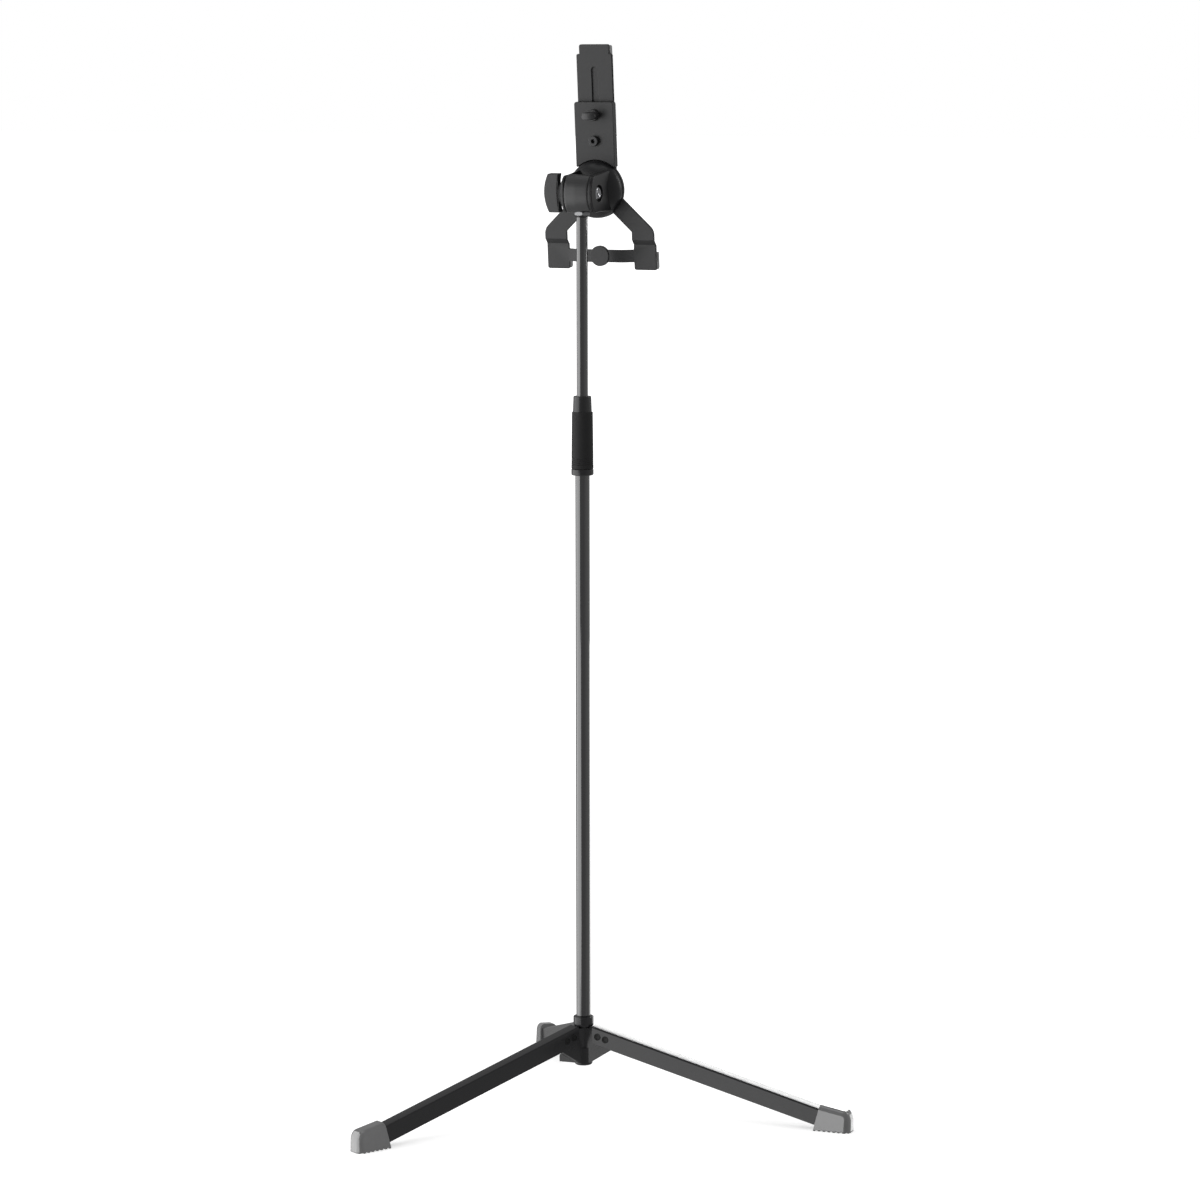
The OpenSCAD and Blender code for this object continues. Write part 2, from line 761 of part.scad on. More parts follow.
module tilt_bolt() {
    seat = face_bolt + bolt_recess;
    crown = 2.6;
    head_r = bolt_head_d / 2;
    ball = (head_r * head_r + crown * crown) / (2 * crown);
    color(zinc) on_head() {
        intersection() {
            x_rod(seat - crown, crown, head_r);
            translate([seat - crown + ball, 0, 0]) sphere(r = ball);
        }
        x_rod(seat, knob_end - 4 - seat, bolt_r);
    }
}

module tilt_washer() {
    color(zinc) on_head() difference() {
        x_rod(boss_x, washer_t, knob_neck_r);
        x_rod(boss_x - over, washer_t + 2 * over, bolt_r);
    }
}

// Paddle with an arched outer edge and a waisted inner edge, on a short round neck
module tilt_knob() {
    half = knob_h / 2;
    sag = 5.8;
    arch_r = (half * half + sag * sag) / (2 * sag);
    waist = 2.3;
    inner = knob_x + 1;
    root = 3;
    color(soft_black) on_head() difference() {
        union() {
            across(knob_t) intersection() {
                translate([knob_end - arch_r, 0]) circle(r = arch_r);
                polygon([[inner, -half], [knob_end + over, -half], [knob_end + over, half],
                         [inner, half], [inner + waist, 0]]);
            }
            x_rod(knob_x, inner + waist + root - knob_x, knob_neck_r);
        }
        x_rod(knob_x - over, insert_len + over, insert_r);
        x_rod(knob_x, knob_len - 3, bolt_r + play);
    }
}

module knob_insert() {
    color(brass) on_head() difference() {
        x_rod(knob_x, insert_len, insert_r);
        x_rod(knob_x - over, insert_len + 2 * over, bolt_r + run);
    }
}

module swivel_disc() {
    color(nylon) on_head() difference() {
        w_rod(dome_w, swivel_t, dome_r - 4);
        w_rod(dome_w - over, swivel_t + 2 * over, axle_r);
    }
}

module holder_axle() {
    socket_af = 6;
    head = plate_front - axle_head_t;
    color(zinc) on_head() difference() {
        union() {
            w_rod(head, axle_head_t - run, axle_head_r);
            w_rod(dome_w, head - dome_w, axle_r);
            w_rod(barrel_r + 4, dome_w - barrel_r - 4, thread_r);
        }
        translate([0, -plate_front - over, 0]) rotate([-90, 0, 0])
            cylinder(h = axle_head_t + over, r = socket_af / sqrt(3), $fn = 6);
    }
}

// One arm from the hub of the plate down to its foot, drawn in x and z
module arm_outline() {
    root = dome_r - 6;
    inner = 0.72 * root;
    bend = 14;
    slope = 43.5;
    rise = tan(slope);
    polygon(concat(
        arc(arm_in + hook_round, foot_v + hook_round, hook_round, 270, 180, 4),
        [[arm_in, -knee_in], [inner, -knee_in + (arm_in - inner) * rise], [0, -root / 2],
         [0.7 * root, (arm_out - 0.7 * root) * rise - knee_out]],
        arc(arm_out - bend, -knee_out - bend * tan(45 - slope / 2), bend, 90 - slope, 0),
        arc(arm_out - hook_round, foot_v + hook_round, hook_round, 0, -90, 4)));
}

// Side of an arm: plate and joggle forwards to the tablet, drawn in y and z
module arm_side() {
    root = 30;
    edge = 1;
    polygon([[-arm_w, root], [-arm_w, joggle_v], [-arm_front + arm_t, joggle_v - joggle_h],
             [-arm_front + arm_t, foot_v + edge], [-arm_front + arm_t - edge, foot_v],
             [-arm_front, foot_v], [-arm_front, joggle_v - joggle_h - 1],
             [-plate_front, joggle_v - 1], [-plate_front, root]]);
}

// Claw of a hook from w = back: floor below the tablet's edge and lip in front, about that edge
module claw_outline(back) {
    low = -liner_floor - hook_floor;
    polygon([[-back, -liner_floor], [-lip_w, -liner_floor], [-lip_w, hook_lap],
             [-lip_front + claw_edge, hook_lap], [-lip_front, hook_lap - claw_edge],
             [-lip_front, low + 2 * claw_edge], [-lip_front + 2 * claw_edge, low], [-back, low]]);
}

// Cross bar seen from above: bowed to the rear between the feet, drawn in x and y
module bar_plan() {
    flat = 0.68 * arm_in;
    foot_back = arm_front - arm_t;
    polygon([[-arm_in - over, -foot_back], [-arm_in, -foot_back], [-flat, -arm_w], [flat, -arm_w],
             [arm_in, -foot_back], [arm_in + over, -foot_back], [arm_in + over, -arm_front],
             [arm_in - 1, -arm_front], [flat - 1, -plate_front], [-flat + 1, -plate_front],
             [-arm_in + 1, -arm_front], [-arm_in - over, -arm_front]]);
}

module holder_plate() {
    color(black) on_head() difference() {
        union() {
            w_rod(plate_w, plate_t, dome_r + 0.4);
            forwards(plate_front - arm_t + 0.6, arm_t - 0.6)
                translate([-tongue_w / 2, 0]) square([tongue_w, tongue_top]);
            for (side = [0, 1]) mirror([side, 0, 0]) intersection() {
                forwards(sleeve_back, arm_front - sleeve_back + over) arm_outline();
                along_x(-over, arm_out + 2 * over) arm_side();
            }
            for (side = [-1, 1]) translate([side * (arm_in + arm_out) / 2, 0, -tablet_drop])
                along_x(-foot_claw / 2, foot_claw) claw_outline(arm_front - over);
            translate([0, 0, -bar_drop - bar_h / 2]) linear_extrude(bar_h) bar_plan();
            w_rod(arm_w - 1.2, plate_front - arm_w + 1.2, boss_disc_r, -bar_drop);
        }
        w_rod(plate_w - over, plate_t + 2 * over, axle_r + run);
        w_rod(plate_front - axle_head_t, axle_head_t + over, axle_head_r + play);
        w_rod(plate_w - over, plate_t + 2 * over, cap_shank_r, cap_v);
    }
}

// Guide sleeve: a thick back that caps the plate's tongue, and rails that hold the slide
module holder_sleeve() {
    half = sleeve_w / 2;
    depth = slide_w + rail_flange + rail_t - play - sleeve_back;
    groove_w0 = slide_w + rail_flange + play;
    color(soft_black) on_head() difference() {
        forwards(sleeve_back, depth) union() {
            translate([-half, sleeve_foot]) square([sleeve_w, sleeve_top - sleeve_foot - 3]);
            rounded(-half, sleeve_top - 12, half, sleeve_top, 3);
        }
        w_rod(sleeve_back - over, plate_w - sleeve_back + over + play, dome_r + 1);
        w_rod(plate_w - run, depth, dome_r + 0.4 + run);
        forwards(plate_front - arm_t + 0.6, arm_t)
            translate([-tongue_w / 2, 0]) square([tongue_w, tongue_top]);
        forwards(plate_front, groove_w0 - plate_front) translate([-slide_half - play, -over])
            square([2 * (slide_half + play), sleeve_top + 2 * over]);
        forwards(plate_front, depth) translate([-slide_half + rail - play, -over])
            square([2 * (slide_half - rail + play), sleeve_top + 2 * over]);
        w_rod(sleeve_back - over, depth + 2 * over, wing_r + run, wing_v);
        w_rod(sleeve_back - over, depth + 2 * over, cap_shank_r, cap_v);
    }
}

module cap_screw() {
    socket_af = 5;
    color(gloss) on_head() difference() {
        union() {
            w_rod(sleeve_back - cap_head_h, cap_head_h, cap_d / 2, cap_v);
            w_rod(sleeve_back, slide_w + slot_depth - play - sleeve_back, cap_shank_r, cap_v);
        }
        translate([0, -sleeve_back + cap_head_h / 2, cap_v]) rotate([-90, 0, 0])
            cylinder(h = cap_head_h, r = socket_af / sqrt(3), $fn = 6);
    }
}

// Soft boot pulled over a claw: a U liner in the mouth with a cheek on each side of the claw
module boot(claw) {
    width = claw + 2 * boot_t;
    lap = hook_lap - 1;
    low = -liner_floor - hook_floor;
    difference() {
        along_x(-width / 2, width) polygon([
            [-arm_front, lap], [-arm_front, low], [-lip_front + 2 * claw_edge, low],
            [-lip_front, low + 2 * claw_edge], [-lip_front, hook_lap - claw_edge],
            [-lip_front + claw_edge, hook_lap], [-lip_w, hook_lap], [-lip_w, lap],
            [-lip_w + liner_t, lap], [-lip_w + liner_t, 0], [-tablet_w, 0], [-tablet_w, lap]]);
        along_x(-claw / 2, claw) claw_outline(arm_front - over);
    }
}

module hook_liners() {
    color(pale_rubber) on_head() for (side = [-1, 1])
        translate([side * (arm_in + arm_out) / 2, 0, -tablet_drop]) boot(foot_claw);
}

module slide() {
    neck = top_hook_w / 2;
    root = 8;
    color(soft_black) on_head() difference() {
        union() {
            forwards(slide_w, slide_t) rounded(-slide_half, slide_foot, slide_half, shoulder_v, 2);
            forwards(slide_w, arm_front - slide_w)
                rounded(-neck, shoulder_v - root, neck, hook_top, hook_round);
            translate([0, 0, tablet_top]) mirror([0, 0, 1])
                along_x(-top_claw / 2, top_claw) claw_outline(arm_front - over);
        }
        forwards(slide_w - over, slot_depth + over)
            rounded(-slot_w / 2, slide_foot + 5, slot_w / 2, slot_top, slot_w / 2 - 0.01);
        for (side = [0, 1]) mirror([side, 0, 0])
            forwards(slide_w + rail_flange, rail_t) translate([slide_half - rail, slide_foot - over])
                square([2 * rail, shoulder_v - slide_foot + 2 * over]);
    }
}

module slide_liner() {
    color(pale_rubber) on_head() translate([0, 0, tablet_top]) mirror([0, 0, 1]) boot(top_claw);
}

// Oval clamp head on a round collar, its end arched
module wing_knob() {
    grip = wing_len - wing_collar_t;
    arch_r = wing_w;
    back = sleeve_back - run;
    color(soft_black) on_head() translate([0, 0, wing_v]) difference() {
        union() {
            w_rod(back - wing_collar_t, wing_collar_t, wing_collar_r);
            intersection() {
                forwards(back - wing_len, grip + 1)
                    rounded(-wing_w / 2, -wing_t / 2, wing_w / 2, wing_t / 2, wing_t / 2 - 0.01);
                translate([0, -back + wing_len - arch_r, -wing_t]) cylinder(h = 2 * wing_t, r = arch_r);
            }
        }
        w_rod(back - wing_len + 5, wing_len, wing_r);
    }
}

module wing_stud() {
    back = sleeve_back - run - wing_len + 5;
    color(zinc) on_head() w_rod(back, slide_w + slot_depth - play - back, wing_r, wing_v);
}

hub();
hub_collar();
centre_bolt();
tube_plug();
lower_tube();
leg_left();
leg_right();
leg_rear();
pins_left();
pins_right();
pins_rear();
foot_left();
foot_right();
foot_rear();
clutch_ring();
clutch_core();
clutch_collet();
clutch_nut();
clutch_grip();
rod();
rod_bush();
rod_stud();
rod_cap();
lock_nut();
pivot_barrel();
fork();
tilt_discs();
tilt_bolt();
tilt_washer();
tilt_knob();
knob_insert();
swivel_disc();
holder_axle();
holder_plate();
holder_sleeve();
cap_screw();
hook_liners();
slide();
slide_liner();
wing_knob();
wing_stud();
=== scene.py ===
import bpy
import bmesh
import numpy as np
from mathutils import Matrix


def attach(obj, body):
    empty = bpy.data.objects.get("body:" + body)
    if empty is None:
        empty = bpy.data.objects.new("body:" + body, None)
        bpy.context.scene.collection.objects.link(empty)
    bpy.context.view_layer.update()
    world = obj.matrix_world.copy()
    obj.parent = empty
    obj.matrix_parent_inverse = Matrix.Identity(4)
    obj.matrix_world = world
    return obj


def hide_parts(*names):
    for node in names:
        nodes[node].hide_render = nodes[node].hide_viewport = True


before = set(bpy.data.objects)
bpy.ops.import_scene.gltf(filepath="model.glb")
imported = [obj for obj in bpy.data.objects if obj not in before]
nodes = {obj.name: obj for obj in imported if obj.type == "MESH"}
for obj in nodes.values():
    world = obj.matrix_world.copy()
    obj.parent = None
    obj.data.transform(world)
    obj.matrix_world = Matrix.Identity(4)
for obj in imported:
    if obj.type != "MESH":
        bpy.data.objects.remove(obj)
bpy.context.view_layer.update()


# The place where the stand is seen: a pale studio floor that runs out into white. White cards and strips
# at the left, at the right and beyond the stand show only in glossy faces, and soft lamps at the left and
# overhead light the rest. The camera looks at the stand's back and is level with its head.
class Wire:
    """A value in a node tree. Wires and numbers that are added, subtracted or multiplied give a new wire,
    and the Math node for it is put into the tree."""

    def __init__(self, tree, socket=None):
        self.tree, self.socket = tree, socket

    def node(self, kind, settings={}, sockets={}, out=0):
        """Puts in a node of that kind, with its settings and then its sockets' values or links."""
        made = self.tree.nodes.new("ShaderNode" + kind)
        for name, value in settings.items():
            setattr(made, name, value)
        for name, value in sockets.items():
            if isinstance(value, Wire):
                self.tree.links.new(value.socket, made.inputs[name])
            else:
                made.inputs[name].default_value = value
        return Wire(self.tree, made.outputs[out] if len(made.outputs) else None)

    def math(self, operation, first, second):
        """The first value and the second, joined by a Math node's operation."""
        return self.node("Math", {"operation": operation}, {0: first, 1: second})

    def __add__(self, other):
        return self.math("ADD", self, other)

    def __sub__(self, other):
        return self.math("SUBTRACT", self, other)

    def __rsub__(self, other):
        return self.math("SUBTRACT", other, self)

    def __mul__(self, other):
        return self.math("MULTIPLY", self, other)

    __radd__, __rmul__ = __add__, __mul__


eye_place = -2.088, 4.400, 1.257
view_line = np.array([0.4213, -0.8976, -0.1297])
view_line /= np.linalg.norm(view_line)
level = np.cross(view_line, [0, 0, 1])
level /= np.linalg.norm(level)
upright = np.cross(level, view_line)
roll = np.radians(-0.08)
eye = bpy.data.cameras.new("eye")
eye.lens, eye.sensor_width, eye.clip_end = 123.3, 36.0, 200.0
camera = bpy.data.objects.new("eye", eye)
view_pose = np.eye(4)
view_pose[:3, 0] = np.cos(roll) * level + np.sin(roll) * upright
view_pose[:3, 1] = np.cos(roll) * upright - np.sin(roll) * level
view_pose[:3, 2] = -view_line
view_pose[:3, 3] = eye_place
camera.matrix_world = Matrix(view_pose.tolist())
bpy.context.collection.objects.link(camera)
bpy.context.scene.camera = camera
bpy.context.scene.view_settings.view_transform = "Standard"

half_floor = 60.0
floor_corners = half_floor * np.array([(-1, -1, 0), (1, -1, 0), (1, 1, 0), (-1, 1, 0)])
floor_mesh = bpy.data.meshes.new("studio_floor")
floor_mesh.from_pydata(floor_corners.tolist(), [], [(0, 1, 2, 3)])
studio_floor = bpy.data.objects.new("studio_floor", floor_mesh)
bpy.context.collection.objects.link(studio_floor)
floor_white = bpy.data.materials.new("floor_white")
floor_white.use_nodes = True
floor_white.node_tree.nodes.clear()
# The camera sees the floor pale all over; the light that the floor throws back darkens to the right.
pale_grey, paler_grey, bounce_shade_grey = (0.88, 0.88, 0.88, 1), (0.93, 0.93, 0.93, 1), (0.16, 0.16, 0.16, 1)
begin = Wire(floor_white.node_tree)
spot = begin.node("TexCoord", out="Object")
cloud = begin.node("TexNoise", sockets={"Vector": spot, "Scale": 3.0, "Detail": 2.0})
to_right = begin.node("VectorMath", {"operation": "DOT_PRODUCT"}, {0: spot, 1: tuple(level)}, "Value")
# Painted shade: for rays other than the camera's, the floor's colour fades to dark grey towards the right.
bounce_shade = begin.node("MapRange", {"interpolation_type": "SMOOTHSTEP"},
                   {"Value": to_right, "From Min": -0.6, "From Max": 1.2, "To Min": 0.0, "To Max": 1.0})
ray = begin.node("LightPath", out="Is Camera Ray")
pale = begin.node("Mix", {"data_type": "RGBA"}, {0: cloud, 6: pale_grey, 7: paler_grey}, 2)
shade = begin.node("Mix", {"data_type": "RGBA"}, {0: bounce_shade * (1 - ray), 6: pale, 7: bounce_shade_grey}, 2)
matte = begin.node("BsdfDiffuse", sockets={"Color": shade})
away = begin.node("VectorMath", {"operation": "LENGTH"}, {0: spot}, "Value")
far_white = begin.node("MapRange", {"interpolation_type": "SMOOTHSTEP"},
                       {"Value": away, "From Min": 0.6, "From Max": 5.0, "To Min": 0.5, "To Max": 0.8})
glow = begin.node("Emission", sockets={"Color": (1, 1, 1, 1), "Strength": far_white * ray})
lit = begin.node("AddShader", sockets={0: matte, 1: glow})
begin.node("OutputMaterial", sockets={"Surface": lit})
floor_mesh.materials.append(floor_white)
studio_floor.visible_glossy = False

studio = bpy.data.worlds.new("studio")
studio.use_nodes = True
studio.node_tree.nodes.clear()
bpy.context.scene.world = studio
# The camera sees white, glossy faces a dim room with a lighter right wall and floor, matt ones even light.
matt_light = 0.66
begin = Wire(studio.node_tree)
ray = begin.node("LightPath", out="Is Camera Ray")
mirrored = begin.node("LightPath", out="Is Glossy Ray")
towards = begin.node("TexCoord", out="Generated")
to_right = begin.node("VectorMath", {"operation": "DOT_PRODUCT"}, {0: towards, 1: tuple(level)}, "Value")
right_wall = begin.node("MapRange", {"interpolation_type": "SMOOTHSTEP"},
                        {"Value": to_right, "From Min": 0.3, "From Max": 1.0, "To Min": 0.32, "To Max": 0.5})
to_top = begin.node("VectorMath", {"operation": "DOT_PRODUCT"}, {0: towards, 1: (0, 0, 1)}, "Value")
below = begin.node("MapRange", {"interpolation_type": "SMOOTHSTEP"},
                   {"Value": to_top, "From Min": -0.6, "From Max": -0.95, "To Min": 0.0, "To Max": 0.5})
strength = ray + mirrored * (right_wall + below) + (1 - ray) * (1 - mirrored) * matt_light
sky = begin.node("Background", sockets={"Color": (1, 1, 1, 1), "Strength": strength})
begin.node("OutputWorld", sockets={"Surface": sky})


def soft_lamp(name, place, aim, width, height, glow, lights=True, mirrors=True):
    """A panel at a place that faces a point, as bright as glow all over: its power is glow x pi x area.
    It may only light matt surfaces, or only show in glossy ones."""
    panel = bpy.data.lights.new(name, "AREA")
    panel.shape, panel.size, panel.size_y = "RECTANGLE", width, height
    panel.energy = glow * np.pi * width * height
    lamp = bpy.data.objects.new(name, panel)
    out = np.subtract(place, aim) / np.linalg.norm(np.subtract(place, aim))
    side = np.cross([0, 0, 1], out) / np.linalg.norm(np.cross([0, 0, 1], out))
    pose = np.eye(4)
    pose[:3, 0], pose[:3, 1], pose[:3, 2], pose[:3, 3] = side, np.cross(out, side), out, place
    lamp.matrix_world = Matrix(pose.tolist())
    lamp.visible_camera, lamp.visible_diffuse, lamp.visible_glossy = False, lights, mirrors
    bpy.context.collection.objects.link(lamp)


def studio_point(right, back, up):
    """The point that lies so far to the view's right, on into the room and up from the pole's foot."""
    return right * level + back * view_line * (1, 1, 0) + [0, 0, up]


soft_lamp("left_card", studio_point(-2.6, -0.55, 0.5), studio_point(0, -0.55, 0.5),
          width=4.32, height=4.2, glow=2.3, lights=False)
soft_lamp("low_card", studio_point(-2.6, -3.6, -0.7), studio_point(0, -3.6, -0.7),
          width=1.8, height=1.8, glow=2.1, lights=False)
soft_lamp("left_fill", studio_point(-2.6, -0.55, 1.2), (0, 0, 0.8),
          width=3.0, height=2.4, glow=1.0, mirrors=False)
soft_lamp("rear_strip", studio_point(0.8, 3.1, 1.28), (0, 0, 0.1),
          width=1.0, height=0.5, glow=6.0, lights=False)
soft_lamp("rear_card", studio_point(1.76, 1.9, -0.3), (-0.3, 0, -0.3),
          width=1.1, height=1.1, glow=1.9, lights=False)
soft_lamp("right_strip", studio_point(2.52, 0.63, 2.05), (0, 0, 2.05),
          width=0.25, height=1.8, glow=8.0, lights=False)
soft_lamp("top_panel", (0.2, 0.3, 3.0), (0, 0, 0.6), width=1.6, height=1.6, glow=0.8)


# Hub: a black painted casting with three lugs that stand in the leg channels and a flat tab at its
# foot. A bolt up its middle draws the collar and the pole down on it.
def finish(name, dark, light, rough, grain, lift, metal=0.0, coat=0.0, shine=0.5, cloud_size=120.0,
           mottle=0.1):
    """A finish whose shade goes between dark and light over soft clouds, and whose roughness goes up and
    down with them by half the mottle. A fine noise with grain cells to the metre lifts the surface by lift
    metres."""
    material = bpy.data.materials.new(name)
    material.use_nodes = True
    material.node_tree.nodes.clear()
    start = Wire(material.node_tree)
    spot = start.node("TexCoord", out="Object")
    cloud = start.node("TexNoise", sockets={
        "Vector": spot, "Scale": cloud_size, "Detail": 4.0, "Roughness": 0.6})
    speck = start.node("TexNoise", sockets={"Vector": spot, "Scale": grain, "Detail": 2.0})
    shade = start.node("Mix", {"data_type": "RGBA"}, {0: cloud, 6: (*dark, 1), 7: (*light, 1)}, 2)
    lifted = start.node("Bump", sockets={"Height": speck, "Strength": 1.0, "Distance": lift})
    shader = start.node("BsdfPrincipled", sockets={
        "Base Color": shade, "Roughness": rough + mottle * (cloud - 0.5), "Metallic": metal,
        "Coat Weight": coat, "Coat Roughness": 0.05, "Coat IOR": 1.8, "Specular IOR Level": shine,
        "Normal": lifted})
    start.node("OutputMaterial", sockets={"Surface": shader})
    return material


def dress(material, *names):
    """Gives solids of the frame a material."""
    for name in names:
        nodes[name].data.materials.clear()
        nodes[name].data.materials.append(material)


def fit(piece, material, body, slot, *covers):
    """Finishes a new piece: its material, the body that it moves with, what it stands for. The slot is not
    used.
    """
    piece.data.materials.append(material)
    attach(piece, body)
    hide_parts(*covers)


def softened(name, solid_name, edge, steps=2, flat_angle=0.3, edge_angle=33.0):
    """A solid's own mesh, welded, whose edges a Bevel rounds off by edge millimetres. Faces that meet below
    the flat angle are joined, and edges above the edge angle are rounded, both in degrees."""
    rough_mesh = nodes[solid_name].data
    points = np.empty(len(rough_mesh.vertices) * 3)
    rough_mesh.vertices.foreach_get("co", points)
    corners = np.empty(len(rough_mesh.polygons) * 3, int)
    rough_mesh.polygons.foreach_get("vertices", corners)
    mesh = bpy.data.meshes.new(name)
    mesh.from_pydata(points.reshape(-1, 3), [], corners.reshape(-1, 3).tolist())
    work = bmesh.new()
    work.from_mesh(mesh)
    bmesh.ops.remove_doubles(work, verts=work.verts, dist=1e-6)
    bmesh.ops.dissolve_limit(work, angle_limit=np.radians(flat_angle), verts=work.verts, edges=work.edges)
    work.to_mesh(mesh)
    work.free()
    mesh.shade_smooth()
    piece = bpy.data.objects.new(name, mesh)
    bpy.context.collection.objects.link(piece)
    rounding = piece.modifiers.new("rounded_edges", "BEVEL")
    rounding.width, rounding.segments = edge * 0.001, steps
    rounding.limit_method, rounding.angle_limit = "ANGLE", np.radians(edge_angle)
    rounding.use_clamp_overlap, rounding.harden_normals = False, True
    return piece


hub_paint = finish("hub_paint", (0.008, 0.008, 0.009), (0.013, 0.013, 0.014), rough=0.26, grain=900.0,
                   lift=5e-6, shine=0.45)
fit(softened("hub_casting", "hub", edge=0.4), hub_paint, "base", "hub_paint", "hub")


# Collar: a turned ring that the pole's foot sits in, pulled down on the hub by the centre bolt and
# painted with it. Its rims are rounded, and a thin dark gap parts it from the lugs.
def eased(corners, cut, steps=6):
    """A closed outline with its corners rounded: each corner is cut back along its two sides, by
    less than half a side, and the two cuts are joined by the parabola whose tangents meet in the corner."""
    corners = np.asarray(corners, float)
    cut = np.broadcast_to(np.asarray(cut, float), corners.shape[:-1])[..., None]
    back, on = np.roll(corners, 1, -2) - corners, np.roll(corners, -1, -2) - corners
    start = corners + back * np.minimum(cut / np.linalg.norm(back, axis=-1, keepdims=True), 0.48)
    end = corners + on * np.minimum(cut / np.linalg.norm(on, axis=-1, keepdims=True), 0.48)
    t = np.linspace(0, 1, steps)[:, None]
    bent = ((1 - t) ** 2 * start[..., None, :] + 2 * t * (1 - t) * corners[..., None, :]
            + t ** 2 * end[..., None, :])
    return bent.reshape(*corners.shape[:-2], -1, corners.shape[-1])


def turned(profile, turns=96):
    """A profile of radius r and height h carried round an axis: r cos a, r sin a and h."""
    a = np.linspace(0, 2 * np.pi, turns, endpoint=False)
    r, h = profile[:, :1], profile[:, 1:]
    return np.stack(np.broadcast_arrays(r * np.cos(a), r * np.sin(a), h), -1)


def solid(name, *grids, sharp=38.0):
    """One mesh of grids of points in millimetres, each with a mark. A grid's columns close round. Its
    rows close round too where the mark is true, and otherwise its two end rows are capped. Edges that
    turn by more than the sharp angle stay sharp in the shading."""
    points, faces, count = [], [], 0
    for grid, loop in grids:
        number = count + np.arange(grid.shape[0] * grid.shape[1]).reshape(grid.shape[:2])
        low, high = (number, np.roll(number, -1, 0)) if loop else (number[:-1], number[1:])
        quads = np.stack([low, np.roll(low, -1, 1), np.roll(high, -1, 1), high], -1)
        faces += quads.reshape(-1, 4).tolist()
        faces += [] if loop else [number[0].tolist(), number[-1].tolist()]
        points.append(grid.reshape(-1, 3))
        count += number.size
    mesh = bpy.data.meshes.new(name)
    mesh.from_pydata(np.concatenate(points) * 0.001, [], faces)
    work = bmesh.new()
    work.from_mesh(mesh)
    bmesh.ops.remove_doubles(work, verts=work.verts, dist=1e-7)
    bmesh.ops.recalc_face_normals(work, faces=work.faces)
    work.to_mesh(mesh)
    work.free()
    mesh.shade_smooth()
    mesh.set_sharp_from_angle(angle=np.radians(sharp))
    piece = bpy.data.objects.new(name, mesh)
    bpy.context.collection.objects.link(piece)
    return piece


collar_z, collar_h, collar_floor = 100.647, 11.8, 3.0
collar_r, collar_seat, bolt_bore = 12.2, 8.62, 4.05
collar_top, seat_z = collar_z + collar_h, collar_z + collar_floor
collar = eased([(bolt_bore, collar_z), (collar_r, collar_z), (collar_r, collar_top),
                (collar_seat, collar_top), (collar_seat, seat_z), (bolt_bore, seat_z)],
               [0.2, 1.0, 1.1, 0.3, 0.2, 0.2])
fit(solid("pole_collar", (turned(collar), True)), hub_paint, "base", "hub_paint", "hub_collar")


# Legs: three steel strips folded to upside-down channels and painted black. Each swings on a rivet
# through its hub lug, and a second rivet stops it in the lug's notch.
leg_paint = finish("leg_paint", (0.007, 0.007, 0.008), (0.010, 0.010, 0.011), rough=0.18, grain=1100.0,
                   lift=2e-6, shine=0.45)
leg_turns = {"left": np.radians(63.9), "right": np.radians(183.9), "rear": np.radians(303.9)}
for side in leg_turns:
    channel = softened(f"leg_channel_{side}", f"leg_{side}", edge=0.35)
    fit(channel, leg_paint, f"{side}_leg", "leg_paint", f"leg_{side}")


# Leg rivets: blackened steel rivets with dished ends and rims that are rolled over. They end inside
# the holes of the channel that they hold.
def about_pole(turn, out, across, up):
    """The point so far out from the pole's axis, across and up, turned about the pole by an angle."""
    return np.stack([out * np.cos(turn) - across * np.sin(turn), out * np.sin(turn) + across * np.cos(turn),
                     up], -1)


pivot_r, pivot_z, leg_slope = 31.4, 86.847, np.radians(14.7)


def on_leg(turn, x, y, z):
    """A leg's own frame in the stand's: x out along the leg, which slopes down, y across it and z square
    to it, from the pivot. The leg stands at the angle turn about the pole."""
    out = pivot_r + x * np.cos(leg_slope) + z * np.sin(leg_slope)
    return about_pole(turn, out, y, pivot_z - x * np.sin(leg_slope) + z * np.cos(leg_slope))


rivet_steel = finish("rivet_steel", (0.007, 0.007, 0.007), (0.012, 0.012, 0.012), rough=0.3, grain=2500.0,
                     lift=3e-6, shine=0.2)
axis_r, axis_cut, dish_r, lip_r, rivet_r = 0.01, 0.004, 2.5, 2.8, 3.98
half_dish, half_rivet, stop_x = 7.7, 8.3, -10.5
rim = eased([(axis_r, -half_dish), (dish_r, -half_dish), (lip_r, -half_rivet), (rivet_r, -half_rivet),
             (rivet_r, half_rivet), (lip_r, half_rivet), (dish_r, half_dish), (axis_r, half_dish)],
            [axis_cut, 0.1, 0.1, 0.7, 0.7, 0.1, 0.1, axis_cut])
for side, turn in leg_turns.items():
    a, b, h = np.moveaxis(turned(rim, turns=48), -1, 0)
    pair = [(on_leg(turn, x + a, h, b), False) for x in (0, stop_x)]
    fit(solid(f"rivets_{side}", *pair), rivet_steel, f"{side}_leg", "pin_steel", f"pins_{side}")


# Feet: glossy grey rubber caps, moulded and pushed over the ends of the legs. Their noses and roofs
# are well rounded into the sides, and the sole has a row of notches for grip.
def trough(away, half, floor):
    """How deep a groove is at a distance from its middle, as a share: 1 up to floor halves away, then
    falling evenly to 0 within one half more."""
    return np.clip(1 + floor - away / half, 0, 1)


